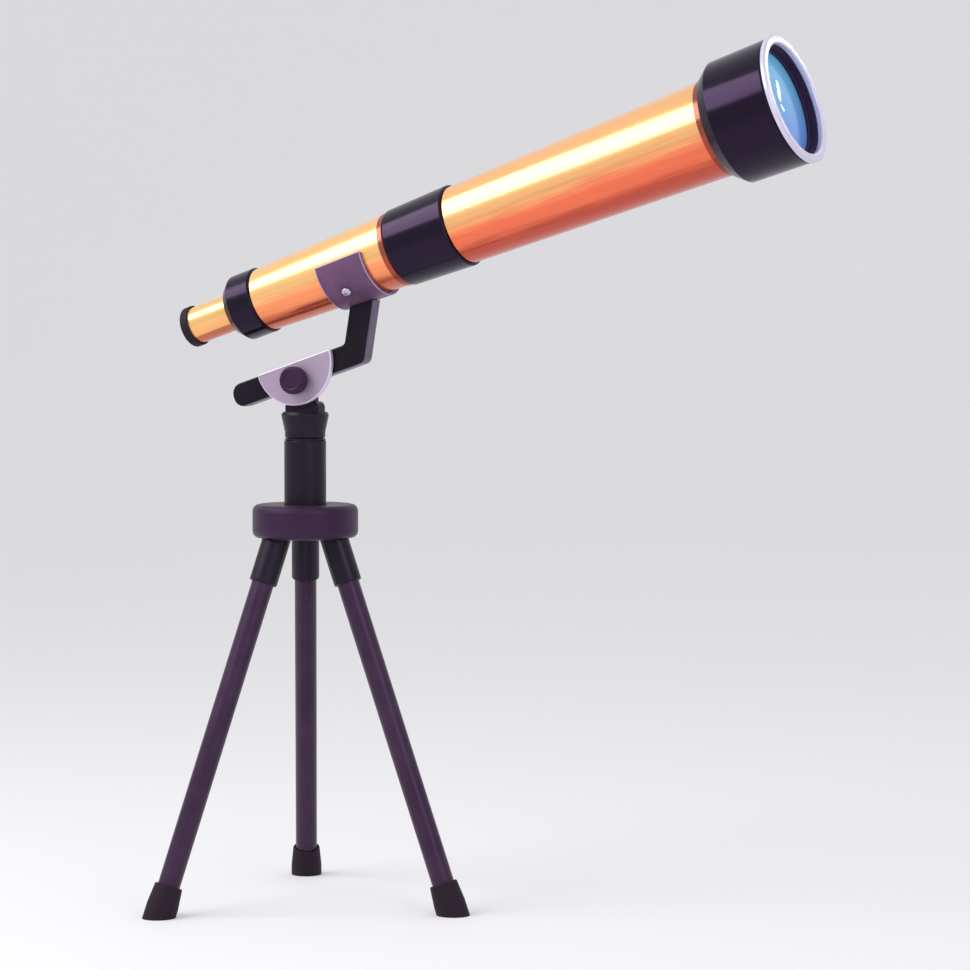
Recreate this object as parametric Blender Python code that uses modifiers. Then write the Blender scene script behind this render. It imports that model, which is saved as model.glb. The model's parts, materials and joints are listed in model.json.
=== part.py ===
"""A small refracting telescope on a table tripod.

Frame: metres, +Z up, +X towards the objective. The origin is the bottom centre of the bounding box.

Stations named U_... are distances along the optical axis from the rear face of the eyecup.
Heights named H_... are measured from the tilt pivot, up the column.
Turned pieces are drawn as (along, radius) pairs, from their rear or lower end to their front or upper end.
"""

import math

import bmesh
import bpy
from mathutils import Vector

# Whole object
TILT = math.radians(18.0)            # rise of the optical axis at rest
SPLAY = math.radians(20.0)           # lean of each leg from the vertical
COLUMN_X = -0.1049                   # the column stands behind the middle of the long tube
PIVOT_Z = 0.2730                     # height of the tilt pivot above the table
PIVOT_U = 0.0580                     # station of the tilt pivot
AXIS_RISE = 0.0470                   # optical axis above the tilt pivot

# Fits
GAP = 0.0003                         # clearance between pieces that touch
TUBE_WALL = 0.0009
FINE_STEPS = 28                      # facets round the optical tube
HUB_STEPS = 36
SMALL_STEPS = 20                     # facets round legs and column
TINY_STEPS = 12                      # facets round screws, pins and washers
SHARP_ANGLE = math.radians(35.0)

# Stations along the optical axis
U_DRAW_TUBE = 0.0052
U_REAR_COLLAR = 0.0310
U_REAR_TUBE = 0.0490
U_SADDLE = 0.0920
U_SADDLE_END = 0.1200
U_SADDLE_SCREW = 0.1040
U_ARM_SCREW = 0.1025
U_MIDDLE_COLLAR = 0.1340
U_FRONT_TUBE = 0.1700
U_BAFFLE_REAR = 0.1240
U_BAFFLE_FRONT = 0.2000
U_HOOD = 0.3200
U_LENS = 0.3488
U_RING = 0.3573
U_FRONT = 0.3600

# Radii of the optical tube
EYECUP_R = 0.01075
DRAW_R = 0.00975
REAR_COLLAR_R = 0.0175
REAR_COLLAR_FACE_R = 0.0140          # outer edge of its rear face, before the chamfer
REAR_TUBE_R = 0.0165
REAR_TUBE_END_R = 0.01925
MIDDLE_COLLAR_R = 0.02025
MIDDLE_COLLAR_END_R = 0.0215
FRONT_TUBE_R = 0.02025
FRONT_TUBE_END_R = 0.0243
SPIGOT_R = 0.0186                    # necks of both tubes inside the middle collar
REAR_SPIGOT_R = 0.0155               # neck of the rear tube inside the rear collar
BEAD_H = 0.0004                      # rolled bead at the front end of each tube
BEAD_LENGTH = 0.0030
HOOD_R = 0.0310
HOOD_END_R = 0.03175
HOOD_BORE_R = 0.0299
HOOD_FACE_R = 0.0265                 # outer edge of its rear face, before the shoulder
THROAT_R = 0.0232                    # opening of the cell behind the lens
RETAINER_BORE_R = 0.0260
BAFFLE_REAR_BORE_R = 0.0130
BAFFLE_FRONT_BORE_R = 0.0170
EYE_HOLE_R = 0.0064
STOP_R = 0.0125                      # flange that keeps the draw tube in
RING_R = 0.0325
RING_BORE_R = 0.0279
CELL_R = 0.0296
CELL_BORE_R = 0.0273
LENS_R = 0.0270
EYE_LENS_R = 0.0082

# Saddle and its screws
SADDLE_T = 0.0018
SADDLE_LIP = 0.0026                  # how far the saddle's edges pass the tube's widest line
SADDLE_SCREW_ANGLE = math.radians(42.0)
SCREW_R = 0.0012
SCREW_HEAD_R = 0.0023
NUT_R = 0.0029
ARM_SCREW_R = 0.0020

# Cradle arm: a bar through the pivot that turns up to the saddle
ARM_T = 0.0080
BAR_TOP = 0.0097
BAR_BOTTOM = -0.0027
BAR_REAR = -0.0420
ELBOW_X = 0.0385
UPRIGHT_W = 0.0150
UPRIGHT_LEAN = 0.52                  # forward run of the upright for each unit of rise
UPRIGHT_TOP = 0.0320
BAR_END_R = 0.0055                   # corner radii of the bar's rear end and of the elbow
ELBOW_OUTER_R = 0.0040
ELBOW_INNER_R = 0.0030
ARM_EDGE = 0.0008
SLOT_W = 0.0042
SLOT_HALF = 0.0125
SLOT_TOP = 0.0074

# Half-disc cheek and the clamp through it
CHEEK_R = 0.0230
CHEEK_TOP = 0.0099
CHEEK_T = 0.0030
CHEEK_CORNER_R = 0.0020
CHEEK_EDGE = 0.0004
BOLT_R = 0.0020
BOLT_HOLE_R = 0.0023
WASHER_R = 0.0050
WASHER_T = 0.0008
KNOB_R = 0.0072
KNOB_T = 0.0062
INSERT_R = 0.0040
INSERT_T = 0.0036
BOLT_HEAD_R = 0.0038
BOLT_HEAD_T = 0.0028

# Pan head
TONGUE_T = 0.0036
TONGUE_R = 0.0070
BLOCK_T = 0.0074
BLOCK_HALF = 0.0100
H_BLOCK_TOP = -0.0110
H_NECK_TOP = -0.0165
H_NECK_END = -0.0300
NECK_TOP_R = 0.0124
NECK_R = 0.0105
PAN_BOLT_R = 0.0023
PAN_BOLT_HEAD_R = 0.0046
PAN_BOLT_HEAD_T = 0.0030
PAN_BOLT_DEPTH = 0.0100              # of its hole in the neck

# Column and hub
COLUMN_R = 0.0109
COLUMN_BORE_R = 0.0094
COLUMN_FLOOR = 0.0030
PLUG_LENGTH = 0.0094
H_HUB_TOP = -0.0645
HUB_HEIGHT = 0.0175
HUB_R = 0.0275
HUB_EDGE = 0.0035
HUB_SOCKET = 0.0020
HUB_WALL = 0.0024                    # left between a leg's slot and the rim
COLUMN_BOLT_R = 0.0025
COLUMN_BOLT_HEAD_R = 0.0045
COLUMN_BOLT_HEAD_T = 0.0034
COLUMN_NUT_R = 0.0046
COLUMN_NUT_T = 0.0040

# Legs
LEG_AZIMUTHS = (0.0, 120.0, 240.0)
HINGE_R = 0.0155                     # hinge pins from the column's axis
HINGE_RISE = 0.0045                  # hinge pins above the underside of the hub
LEG_LENGTH = 0.2080                  # hinge pin to table, along the leg
SLEEVE_R = 0.00725
SLEEVE_LENGTH = 0.0290
SLEEVE_BORE_TOP = 0.0120
LEG_TUBE_R = 0.00575
LEG_TUBE_BORE_R = 0.00475
PIN_R = 0.0015
PIN_INNER = 0.0110                   # the pin's blind end from the middle of its leg
PIN_OUTER = 0.0215                   # the pin's open end
FOOT_R = 0.0082
FOOT_TOP_R = 0.0072
FOOT_HEIGHT = 0.0170
FOOT_FLOOR = 0.0055                  # rubber left under the leg tube

# Colours, linear RGB
GOLD = (0.90, 0.42, 0.11)
BLACK = (0.020, 0.017, 0.034)
AUBERGINE = (0.055, 0.028, 0.062)
LILAC = (0.43, 0.33, 0.47)
PLUM = (0.16, 0.086, 0.18)
SILVER = (0.76, 0.77, 0.84)
GLASS_BLUE = (0.14, 0.36, 0.72)
STEEL = (0.42, 0.40, 0.44)
RUBBER = (0.018, 0.016, 0.020)
BRASS = (0.70, 0.50, 0.20)
NYLON = (0.62, 0.60, 0.62)

H_HUB_BOTTOM = H_HUB_TOP - HUB_HEIGHT
WASHER_TOP = H_NECK_END - GAP
COLUMN_TOP = WASHER_TOP - WASHER_T - GAP
COLUMN_BOTTOM = H_HUB_TOP - HUB_SOCKET + GAP
CHEEK_INNER = ARM_T / 2 + GAP
CHEEK_OUTER = CHEEK_INNER + CHEEK_T
SKIM = 0.0200                        # half-length of cutters that pass right through a small piece


def clear_scene():
    for obj in list(bpy.data.objects):
        bpy.data.objects.remove(obj, do_unlink=True)


def new_collection(name):
    collection = bpy.data.collections.new(name)
    bpy.context.scene.collection.children.link(collection)
    return collection


def make_material(name, colour, metallic, roughness):
    material = bpy.data.materials.new(name)
    material.use_nodes = True
    shader = material.node_tree.nodes["Principled BSDF"]
    shader.inputs["Base Color"].default_value = (*colour, 1.0)
    shader.inputs["Metallic"].default_value = metallic
    shader.inputs["Roughness"].default_value = roughness
    material.diffuse_color = (*colour, 1.0)
    return material


clear_scene()
PARTS = new_collection("telescope_on_tripod")
CUTTERS = new_collection("cutters")
GUIDES = new_collection("guides")


def guide(name, parent=None, location=(0, 0, 0), rotation=(0, 0, 0)):
    """An empty that carries the pieces of one moving assembly."""
    empty = bpy.data.objects.new(name, None)
    empty.empty_display_size = 0.02
    empty.location = location
    empty.rotation_euler = rotation
    empty.parent = parent
    empty.hide_render = True
    GUIDES.objects.link(empty)
    return empty


def place(obj, parent, location, rotation, look):
    """Put a piece in the model, or, where it has no material, among the cutters."""
    obj.parent = parent
    obj.location = location
    obj.rotation_euler = rotation
    if look is None:
        CUTTERS.objects.link(obj)
        obj.hide_render = True
        obj.display_type = "WIRE"
    else:
        PARTS.objects.link(obj)
        obj.data.materials.append(make_material(obj.name, *look))
    return obj


def turned(name, outline, closed, look, parent, location=(0, 0, 0), rotation=(0, 0, 0), steps=FINE_STEPS):
    """Turn an outline of (along, radius) pairs round the local Z axis."""
    mesh = bpy.data.meshes.new(name)
    count = len(outline)
    edges = [(i, (i + 1) % count) for i in range(count if closed else count - 1)]
    mesh.from_pydata([(radius, 0.0, along) for along, radius in outline], edges, [])
    obj = bpy.data.objects.new(name, mesh)
    screw = obj.modifiers.new("Turn", "SCREW")
    screw.axis = "Z"
    screw.angle = math.tau
    screw.steps = screw.render_steps = steps
    screw.use_merge_vertices = True
    screw.merge_threshold = 0.00001
    return place(obj, parent, location, rotation, look)


def turned_shell(name, outer, inner, look, parent, **options):
    """A ring or tube: its outer side and its bore are both given rear to front."""
    return turned(name, outer[::-1] + inner, True, look, parent, **options)


def turned_solid(name, outline, look, parent, **options):
    """A solid of revolution: the outline runs rear to front and starts and ends on the axis."""
    return turned(name, outline[::-1], False, look, parent, **options)


def rod(name, start, end, radius, look, parent, **options):
    outline = [(start, 0.0), (start, radius), (end, radius), (end, 0.0)]
    return turned_solid(name, outline, look, parent, **options)


def washer(name, start, end, radius, bore, look, parent, **options):
    outer, inner = [(start, radius), (end, radius)], [(start, bore), (end, bore)]
    return turned_shell(name, outer, inner, look, parent, **options)


def box(name, low, high, look, parent):
    """A block between two opposite corners."""
    mesh = bpy.data.meshes.new(name)
    shape = bmesh.new()
    bmesh.ops.create_cube(shape, size=1.0)
    low, high = Vector(low), Vector(high)
    bmesh.ops.scale(shape, vec=high - low, verts=shape.verts)
    bmesh.ops.translate(shape, vec=(low + high) / 2, verts=shape.verts)
    shape.to_mesh(mesh)
    shape.free()
    return place(bpy.data.objects.new(name, mesh), parent, (0, 0, 0), (0, 0, 0), look)


def rounded(corners, segments=5):
    """The points of an outline whose corners, given as (x, y, radius), are turned into arcs."""
    points = []
    for i, (x, y, radius) in enumerate(corners):
        here = Vector((x, y))
        if radius == 0.0:
            points.append(here)
            continue
        back = (Vector(corners[i - 1][:2]) - here).normalized()
        ahead = (Vector(corners[(i + 1) % len(corners)][:2]) - here).normalized()
        half = back.angle(ahead) / 2
        centre = here + (back + ahead).normalized() * radius / math.sin(half)
        start = here + back * radius / math.tan(half) - centre
        end = here + ahead * radius / math.tan(half) - centre
        first = math.atan2(start.y, start.x)
        sweep = (math.atan2(end.y, end.x) - first + math.pi) % math.tau - math.pi
        for k in range(segments + 1):
            angle = first + sweep * k / segments
            points.append(centre + radius * Vector((math.cos(angle), math.sin(angle))))
    return points


def plate(name, points, thickness, look, parent, offset=0.0):
    """A flat outline in the parent's XZ plane, thick along Y and centred at the offset."""
    curve = bpy.data.curves.new(name, "CURVE")
    curve.dimensions = "2D"
    curve.fill_mode = "BOTH"
    curve.extrude = thickness / 2
    spline = curve.splines.new("POLY")
    spline.points.add(len(points) - 1)
    for point, (x, z) in zip(spline.points, points):
        point.co = (x, z, 0.0, 1.0)
    spline.use_cyclic_u = True
    drawn = bpy.data.objects.new(name + "_outline", curve)
    PARTS.objects.link(drawn)
    depsgraph = bpy.context.evaluated_depsgraph_get()
    mesh = bpy.data.meshes.new_from_object(drawn.evaluated_get(depsgraph))
    bpy.data.objects.remove(drawn, do_unlink=True)
    shape = bmesh.new()
    shape.from_mesh(mesh)
    bmesh.ops.remove_doubles(shape, verts=shape.verts, dist=0.00001)
    bmesh.ops.dissolve_limit(shape, angle_limit=0.001, verts=shape.verts, edges=shape.edges)
    shape.to_mesh(mesh)
    shape.free()
    mesh.materials.clear()
    obj = bpy.data.objects.new(name, mesh)
    return place(obj, parent, (0, offset, 0), (math.pi / 2, 0, 0), look)


def cut(obj, *cutters):
    for cutter in cutters:
        boolean = obj.modifiers.new(cutter.name, "BOOLEAN")
        boolean.operation = "DIFFERENCE"
        boolean.object = cutter


def join(obj, *others):
    for other in others:
        boolean = obj.modifiers.new(other.name, "BOOLEAN")
        boolean.operation = "UNION"
        boolean.object = other


def soften(obj, width, angle=40.0):
    """Chamfer the sharp edges."""
    bevel = obj.modifiers.new("Edges", "BEVEL")
    bevel.width = width
    bevel.segments = 1
    bevel.limit_method = "ANGLE"
    bevel.angle_limit = math.radians(angle)


def hex_bolt(name, head, tip, head_r, shank_r, look, parent, **options):
    """A hexagonal head between two positions along local Z, and a shank from the head to the tip."""
    bolt = rod(name, head[0], head[1], head_r, look, parent, steps=6, **options)
    inside_head = (head[0] + head[1]) / 2
    low, high = sorted((inside_head, tip))
    join(bolt, rod(name + "_shank", low, high, shank_r, None, parent, steps=TINY_STEPS, **options))
    return bolt


def hex_nut(name, start, end, across_r, bore, look, parent, **options):
    nut = rod(name, start, end, across_r, look, parent, steps=6, **options)
    clear = end - start
    cut(nut, rod(name + "_bore", start - clear, end + clear, bore, None, parent, steps=TINY_STEPS, **options))
    return nut


def rear_tube_radius(u):
    share = (u - U_REAR_TUBE) / (U_MIDDLE_COLLAR - U_REAR_TUBE)
    return REAR_TUBE_R + (REAR_TUBE_END_R - REAR_TUBE_R) * share


def front_tube_radius(u):
    share = (u - U_FRONT_TUBE) / (U_HOOD - U_FRONT_TUBE)
    return FRONT_TUBE_R + (FRONT_TUBE_END_R - FRONT_TUBE_R) * share


def lens_outline(rear, front, radius, rear_bulge, front_bulge, rings=4):
    """A lens between two edge stations, with each face bulging outwards."""
    shares = [k / rings for k in range(rings)]
    back = [(rear - rear_bulge * (1 - s * s), radius * s) for s in shares]
    face = [(front + front_bulge * (1 - s * s), radius * s) for s in reversed(shares)]
    return back + [(rear, radius), (front, radius)] + face


def build_tubes(axis):
    """The two tapered tubes, the collars that join them, and the light baffles. Returns the rear tube."""
    gold = (GOLD, 1.0, 0.28)
    black = (BLACK, 0.0, 0.35)
    wall = TUBE_WALL
    start, end = U_REAR_TUBE + GAP, U_MIDDLE_COLLAR - GAP
    bead = end - BEAD_LENGTH
    neck_start, neck_end = U_REAR_COLLAR + 0.0052, U_MIDDLE_COLLAR + 0.0170
    rear_tube = turned_shell(
        "rear_tube",
        [(neck_start, REAR_SPIGOT_R), (start, REAR_SPIGOT_R), (start, REAR_TUBE_R),
         (bead, rear_tube_radius(bead)), (bead, rear_tube_radius(bead) + BEAD_H),
         (end, rear_tube_radius(end) + BEAD_H), (end, SPIGOT_R), (neck_end, SPIGOT_R)],
        [(neck_start, REAR_SPIGOT_R - wall), (start + wall, REAR_SPIGOT_R - wall),
         (start + wall, REAR_TUBE_R - wall), (end - wall, rear_tube_radius(end) - wall),
         (end - wall, SPIGOT_R - wall), (neck_end, SPIGOT_R - wall)],
        gold, axis)

    start, end = U_FRONT_TUBE + GAP, U_HOOD - GAP
    bead = end - BEAD_LENGTH
    neck_start, neck_end = U_MIDDLE_COLLAR + 0.0195, U_HOOD + 0.0150
    end_r = front_tube_radius(end)
    turned_shell(
        "front_tube",
        [(neck_start, SPIGOT_R), (start, SPIGOT_R), (start, FRONT_TUBE_R),
         (bead, front_tube_radius(bead)), (bead, front_tube_radius(bead) + BEAD_H),
         (end, end_r + BEAD_H), (end, end_r), (neck_end, end_r)],
        [(neck_start, SPIGOT_R - wall), (start + wall, SPIGOT_R - wall),
         (start + wall, FRONT_TUBE_R - wall), (neck_end, end_r - wall)],
        gold, axis)

    edge = 0.0006
    turned_shell(
        "middle_collar",
        [(U_MIDDLE_COLLAR, MIDDLE_COLLAR_R - edge), (U_MIDDLE_COLLAR + edge, MIDDLE_COLLAR_R),
         (U_FRONT_TUBE - edge, MIDDLE_COLLAR_END_R), (U_FRONT_TUBE, MIDDLE_COLLAR_END_R - edge)],
        [(U_MIDDLE_COLLAR, SPIGOT_R + GAP), (U_FRONT_TUBE, SPIGOT_R + GAP)],
        black, axis)

    wall_end = U_REAR_COLLAR + 0.0042
    draw_hole_r = DRAW_R + 0.0008
    turned_shell(
        "rear_collar",
        [(U_REAR_COLLAR, REAR_COLLAR_FACE_R), (wall_end, REAR_COLLAR_R), (U_REAR_TUBE - edge, REAR_COLLAR_R),
         (U_REAR_TUBE, REAR_COLLAR_R - edge)],
        [(U_REAR_COLLAR, draw_hole_r), (wall_end, draw_hole_r),
         (wall_end, REAR_SPIGOT_R + GAP), (U_REAR_TUBE, REAR_SPIGOT_R + GAP)],
        black, axis)
    bush_end = U_REAR_TUBE + 0.0030
    washer("draw_tube_bush", wall_end + GAP, bush_end, REAR_SPIGOT_R - wall - GAP,
           DRAW_R + GAP, (NYLON, 0.0, 0.6), axis, steps=SMALL_STEPS)

    baffle_t, baffle_gap = 0.0020, 0.0004
    washer("baffle_rear", U_BAFFLE_REAR, U_BAFFLE_REAR + baffle_t,
           rear_tube_radius(U_BAFFLE_REAR) - wall - baffle_gap, BAFFLE_REAR_BORE_R, (BLACK, 0.0, 0.8), axis)
    washer("baffle_front", U_BAFFLE_FRONT, U_BAFFLE_FRONT + baffle_t,
           front_tube_radius(U_BAFFLE_FRONT) - wall - baffle_gap, BAFFLE_FRONT_BORE_R, (BLACK, 0.0, 0.8), axis)
    return rear_tube


def build_objective(axis):
    """The hood, the cell inside it that holds the lens, and the bright ring round the mouth."""
    black = (BLACK, 0.0, 0.35)
    tube_r = front_tube_radius(U_HOOD)
    shoulder = U_HOOD + 0.0058
    turned_shell(
        "objective_hood",
        [(U_HOOD, HOOD_FACE_R), (shoulder, HOOD_R), (U_RING - GAP, HOOD_END_R)],
        [(U_HOOD, tube_r + GAP), (shoulder, tube_r + GAP), (shoulder, HOOD_BORE_R),
         (U_RING - GAP, HOOD_BORE_R)],
        black, axis)

    start = U_HOOD + 0.0070
    step = U_LENS - 0.0108               # the cell widens here, ahead of the tube's end
    wall_t = 0.0008
    ledge = U_LENS - 2 * GAP
    ledge_r = LENS_R - 0.0018
    throat_end = U_LENS - 0.0070
    neck, end = U_RING - 0.0056, U_RING - GAP
    neck_r = CELL_R - 0.0013             # the ring is pressed on this neck
    turned_shell(
        "objective_cell",
        [(start, HOOD_FACE_R), (step, HOOD_FACE_R), (step, CELL_R), (neck, CELL_R), (neck, neck_r),
         (end, neck_r)],
        [(start, tube_r + GAP), (step + wall_t, tube_r + GAP), (step + wall_t, THROAT_R),
         (throat_end, THROAT_R), (ledge, ledge_r), (ledge, CELL_BORE_R), (end, CELL_BORE_R)],
        (BLACK, 0.0, 0.6), axis)

    edge_end = U_LENS + 0.0032
    rear_bulge, front_bulge = 0.0020, 0.0022
    turned_solid("objective_lens", lens_outline(U_LENS, edge_end, LENS_R, rear_bulge, front_bulge, rings=5),
                 (GLASS_BLUE, 0.0, 0.05), axis)
    retainer_start, retainer_t = edge_end + 0.0005, 0.0012
    washer("lens_retainer", retainer_start, retainer_start + retainer_t, LENS_R, RETAINER_BORE_R,
           (BLACK, 0.0, 0.5), axis)

    edge = 0.0006
    skirt = U_RING - 0.0053
    turned_shell(
        "objective_ring",
        [(skirt, CELL_R), (U_RING, CELL_R), (U_RING, RING_R - edge),
         (U_RING + edge, RING_R), (U_FRONT - edge, RING_R), (U_FRONT, RING_R - edge)],
        [(skirt, neck_r + GAP), (U_RING, neck_r + GAP), (U_RING, RING_BORE_R),
         (U_FRONT - edge, RING_BORE_R), (U_FRONT, RING_BORE_R + edge)],
        (SILVER, 1.0, 0.2), axis)


def build_eyepiece(axis):
    """The sliding draw tube, the rubber eyecup on its end and the two lenses inside."""
    black = (BLACK, 0.0, 0.5)
    glass = (GLASS_BLUE, 0.0, 0.05)
    lip_r, bore_r = 0.0072, EYE_LENS_R + GAP
    tube_start, lip_end = 0.0028, 0.0072
    stop, tube_end = 0.0720, 0.0745
    cup_floor, cup_edge = 0.0025, 0.0010
    turned_shell(
        "draw_tube",
        [(tube_start, DRAW_R), (stop, DRAW_R), (stop, STOP_R), (tube_end, STOP_R)],
        [(tube_start, lip_r), (lip_end, lip_r), (lip_end, bore_r), (tube_end, bore_r)],
        (GOLD, 1.0, 0.28), axis, steps=SMALL_STEPS)
    turned_shell(
        "eyecup",
        [(0.0, EYECUP_R - cup_edge), (cup_edge, EYECUP_R), (U_DRAW_TUBE, EYECUP_R)],
        [(0.0, EYE_HOLE_R), (cup_floor, EYE_HOLE_R), (cup_floor, DRAW_R + GAP), (U_DRAW_TUBE, DRAW_R + GAP)],
        (RUBBER, 0.0, 0.8), axis, steps=SMALL_STEPS)

    rear = lip_end + GAP
    lens_t, bulge, spacing = 0.0015, 0.0022, 0.0097
    seat = bulge * (1 - (lip_r / EYE_LENS_R) ** 2) + GAP    # the spacer meets the lens inside its edge
    front = rear + lens_t
    turned_solid("eye_lens", lens_outline(rear, front, EYE_LENS_R, 0.0, bulge), glass, axis,
                 steps=SMALL_STEPS)
    washer("eye_lens_spacer", front + seat, front + spacing - seat, EYE_LENS_R, lip_r, black, axis,
           steps=SMALL_STEPS)
    rear = front + spacing
    front = rear + lens_t
    turned_solid("field_lens", lens_outline(rear, front, EYE_LENS_R, bulge, 0.0), glass, axis,
                 steps=SMALL_STEPS)
    retainer_end = front + 0.0028
    washer("eyepiece_retainer", front + GAP, retainer_end, EYE_LENS_R, lip_r, black, axis,
           steps=SMALL_STEPS)


def build_saddle(axis, rear_tube):
    """The half-round saddle under the rear tube, with its screws and nuts.

    Returns the saddle's outer form, which is the arm's bed, and the hole of the arm's screw.
    """
    def seat(name, clearance, thickness, look, start, end):
        inner = [(start, rear_tube_radius(start) + clearance), (end, rear_tube_radius(end) + clearance)]
        outer = [(u, radius + thickness) for u, radius in inner]
        return turned_shell(name, outer, inner, look, axis)

    saddle = seat("saddle", GAP, SADDLE_T, (PLUM, 0.6, 0.4), U_SADDLE, U_SADDLE_END)
    reach = 0.05
    cut(saddle, box("saddle_trim", (-reach, -reach, 0.0), (-SADDLE_LIP, reach, 2 * U_SADDLE_END), None, axis))

    tube_r = rear_tube_radius(U_SADDLE_SCREW)
    outside = tube_r + GAP + SADDLE_T
    inside = tube_r - TUBE_WALL - 2 * GAP
    nut_t = 0.0020
    head_edge, head_t, head_flat = 0.0008, 0.0016, 0.6
    for side, sign in (("near", -1), ("far", 1)):
        outward = Vector((math.sin(SADDLE_SCREW_ANGLE), sign * math.cos(SADDLE_SCREW_ANGLE), 0.0))
        pose = {
            "location": (0.0, 0.0, U_SADDLE_SCREW),
            "rotation": outward.to_track_quat("Z", "Y").to_euler(),
        }
        hole = rod(f"saddle_hole_{side}", inside, outside + SADDLE_T, SCREW_R + GAP, None, axis,
                   steps=TINY_STEPS, **pose)
        cut(saddle, hole)
        cut(rear_tube, hole)
        tip, head = inside - nut_t - GAP, outside + GAP
        top, top_r = head + head_t, SCREW_HEAD_R * head_flat
        turned_solid(
            f"saddle_screw_{side}",
            [(tip, 0.0), (tip, SCREW_R), (head, SCREW_R), (head, SCREW_HEAD_R),
             (head + head_edge, SCREW_HEAD_R), (top, top_r), (top, 0.0)],
            (SILVER, 1.0, 0.3), axis, steps=TINY_STEPS, **pose)
        hex_nut(f"saddle_nut_{side}", inside - nut_t, inside, NUT_R, SCREW_R + GAP, (STEEL, 1.0, 0.4), axis,
                **pose)

    down = {"location": (0.0, 0.0, U_ARM_SCREW), "rotation": (0.0, math.pi / 2, 0.0)}
    tube_r = rear_tube_radius(U_ARM_SCREW)
    head = tube_r - TUBE_WALL - 2 * GAP
    head_r, head_t, tip = 0.0034, 0.0022, 0.0310
    turned_solid(
        "arm_screw",
        [(head - head_t, 0.0), (head - head_t, head_r), (head, head_r), (head, ARM_SCREW_R),
         (tip, ARM_SCREW_R), (tip, 0.0)],
        (STEEL, 1.0, 0.4), axis, steps=TINY_STEPS, **down)
    hole = rod("arm_screw_hole", tube_r - 2 * TUBE_WALL, tip + GAP, ARM_SCREW_R + GAP, None, axis,
               steps=TINY_STEPS, **down)
    cut(saddle, hole)
    cut(rear_tube, hole)
    behind = U_SADDLE - 0.0100
    lift = SADDLE_T + 2 * GAP
    bed = turned_solid(
        "arm_bed",
        [(behind, 0.0), (behind, rear_tube_radius(behind) + lift),
         (U_SADDLE_END, rear_tube_radius(U_SADDLE_END) + lift), (U_SADDLE_END, 0.0)],
        None, axis)
    return bed, hole


def build_cradle(tilt, bed, screw_hole):
    """The bent arm, the half-disc cheek on its near side and the clamp bolt through them."""
    lean = UPRIGHT_LEAN
    top_front = ELBOW_X + (UPRIGHT_TOP - BAR_BOTTOM) * lean
    top_rear = top_front - UPRIGHT_W
    inner_x = top_rear - (UPRIGHT_TOP - BAR_TOP) * lean
    outline = rounded([
        (BAR_REAR, BAR_BOTTOM, BAR_END_R), (ELBOW_X, BAR_BOTTOM, ELBOW_OUTER_R), (top_front, UPRIGHT_TOP, 0.0),
        (top_rear, UPRIGHT_TOP, 0.0), (inner_x, BAR_TOP, ELBOW_INNER_R), (BAR_REAR, BAR_TOP, BAR_END_R)])
    arm = plate("cradle_arm", outline, ARM_T, (BLACK, 0.0, 0.4), tilt)
    soften(arm, ARM_EDGE)
    across = {"rotation": (math.pi / 2, 0.0, 0.0)}
    pivot_hole = rod("pivot_hole", -SKIM, SKIM, BOLT_HOLE_R, None, tilt, steps=TINY_STEPS, **across)
    slot = box("tongue_slot", (-SLOT_HALF, -SLOT_W / 2, -SLOT_HALF), (SLOT_HALF, SLOT_W / 2, SLOT_TOP),
               None, tilt)
    cut(arm, slot, pivot_hole, bed, screw_hole)

    arc_points, tuck = 16, math.radians(12.0)
    first, last = -tuck, tuck - math.pi
    angles = [first + (last - first) * k / arc_points for k in range(arc_points + 1)]
    arc = [(CHEEK_R * math.cos(a), CHEEK_TOP + CHEEK_R * math.sin(a), 0.0) for a in angles]
    corners = [(-CHEEK_R, CHEEK_TOP, CHEEK_CORNER_R), (CHEEK_R, CHEEK_TOP, CHEEK_CORNER_R)]
    cheek = plate("cheek", rounded(corners + arc, segments=3), CHEEK_T, (LILAC, 0.7, 0.35), tilt,
                  offset=-(CHEEK_INNER + CHEEK_OUTER) / 2)
    soften(cheek, CHEEK_EDGE)
    cut(cheek, pivot_hole)

    steel = (STEEL, 1.0, 0.35)
    near, far = CHEEK_OUTER + GAP, -CHEEK_INNER - WASHER_T
    for side, start in (("near", near), ("far", far)):
        washer(f"tilt_washer_{side}", start, start + WASHER_T, WASHER_R, BOLT_HOLE_R, steel, tilt,
               steps=SMALL_STEPS, **across)
    knob_start = near + WASHER_T + GAP
    insert_start = knob_start + GAP
    insert_end = insert_start + INSERT_T
    head_end = far - GAP
    hex_bolt("tilt_bolt", (head_end - BOLT_HEAD_T, head_end), insert_end - GAP, BOLT_HEAD_R, BOLT_R, steel,
             tilt, **across)
    edge = 0.0008
    knob_end = knob_start + KNOB_T
    bore = INSERT_R + GAP
    turned_solid(
        "tilt_knob",
        [(insert_end + GAP, 0.0), (insert_end + GAP, bore), (knob_start, bore), (knob_start, KNOB_R - edge),
         (knob_start + edge, KNOB_R), (knob_end - edge, KNOB_R), (knob_end, KNOB_R - edge), (knob_end, 0.0)],
        (AUBERGINE, 0.0, 0.45), tilt, steps=SMALL_STEPS, **across)
    washer("knob_insert", insert_start, insert_end, INSERT_R, BOLT_HOLE_R, (BRASS, 1.0, 0.35), tilt,
           steps=SMALL_STEPS, **across)


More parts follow.
